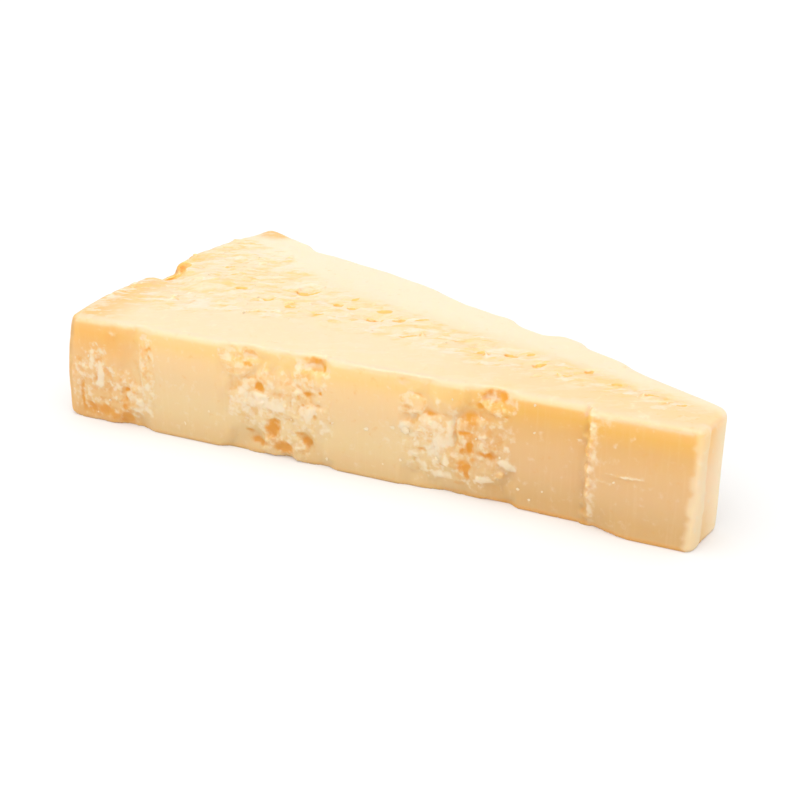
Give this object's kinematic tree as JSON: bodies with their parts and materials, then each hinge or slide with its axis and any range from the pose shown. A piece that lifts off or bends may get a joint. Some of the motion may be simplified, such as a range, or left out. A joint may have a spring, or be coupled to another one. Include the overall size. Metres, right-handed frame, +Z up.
{
  "type": "wedge of hard aged cheese",
  "caption": "Wedge cut from a wheel of hard, grainy aged cheese, lying on a large flat cut face, with smooth knife cuts and crumbly splits on its sides.",
  "frame": {"origin": "on the surface that the wedge lies on, under the middle of its bounding box", "axes": "+X from the rind end to the narrow tip, +Y from the long straight front face to the ragged back face, +Z up"},
  "size_m": [0.1756, 0.095, 0.0306],
  "materials": {
    "cheese_paste": "pale straw-yellow aged cheese paste, slightly waxy where the knife cut it and dry and granular where it split"
  },
  "bodies": {
    "root": {"cheese_wedge": "cheese_paste"}
  },
  "joints": []
}
